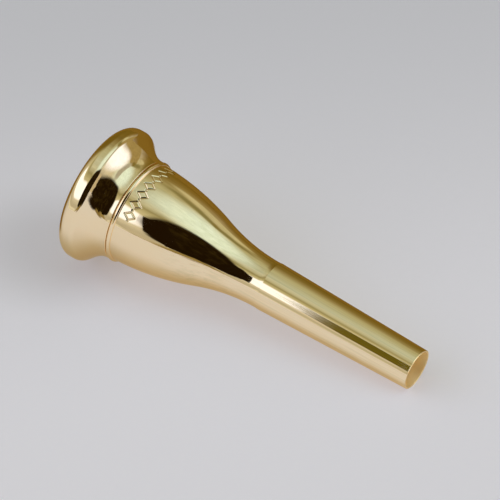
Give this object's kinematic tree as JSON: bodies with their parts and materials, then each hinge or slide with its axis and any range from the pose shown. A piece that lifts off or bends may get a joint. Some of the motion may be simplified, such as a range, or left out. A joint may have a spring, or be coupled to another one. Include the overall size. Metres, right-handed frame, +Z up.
{
  "type": "brass mouthpiece",
  "caption": "Gold-plated horn mouthpiece: funnel cup, ground taper shank and a flared rim that screws off the cup on a threaded neck.",
  "frame": {"origin": "centre of the shank's open end face", "axes": "+X along the bore axis from the shank's end to the rim; +Z up when the mouthpiece is held level"},
  "size_m": [0.0641, 0.0242, 0.0242],
  "materials": {
    "gold_plate": "mirror-polished gold plate over brass",
    "nitrile": "matt black"
  },
  "bodies": {
    "cup_and_shank": {"cup_and_shank": "gold_plate"},
    "seal_ring": {"seal_ring": "nitrile"},
    "rim": {"rim": "gold_plate"}
  },
  "joints": [
    {"name": "rim_rise", "type": "slide", "parent": "cup_and_shank", "child": "seal_ring", "axis": [1, 0, 0], "range_m": [0, 0.003]},
    {"name": "rim_turn", "type": "hinge", "parent": "seal_ring", "child": "rim", "pos_m": [0.0585, 0, 0], "axis": [1, 0, 0], "range_deg": [0, 1800]}
  ],
  "couplings": [
    {"joint": "rim_rise", "follows": "rim_turn", "m_per_rad": 0.00009549}
  ]
}
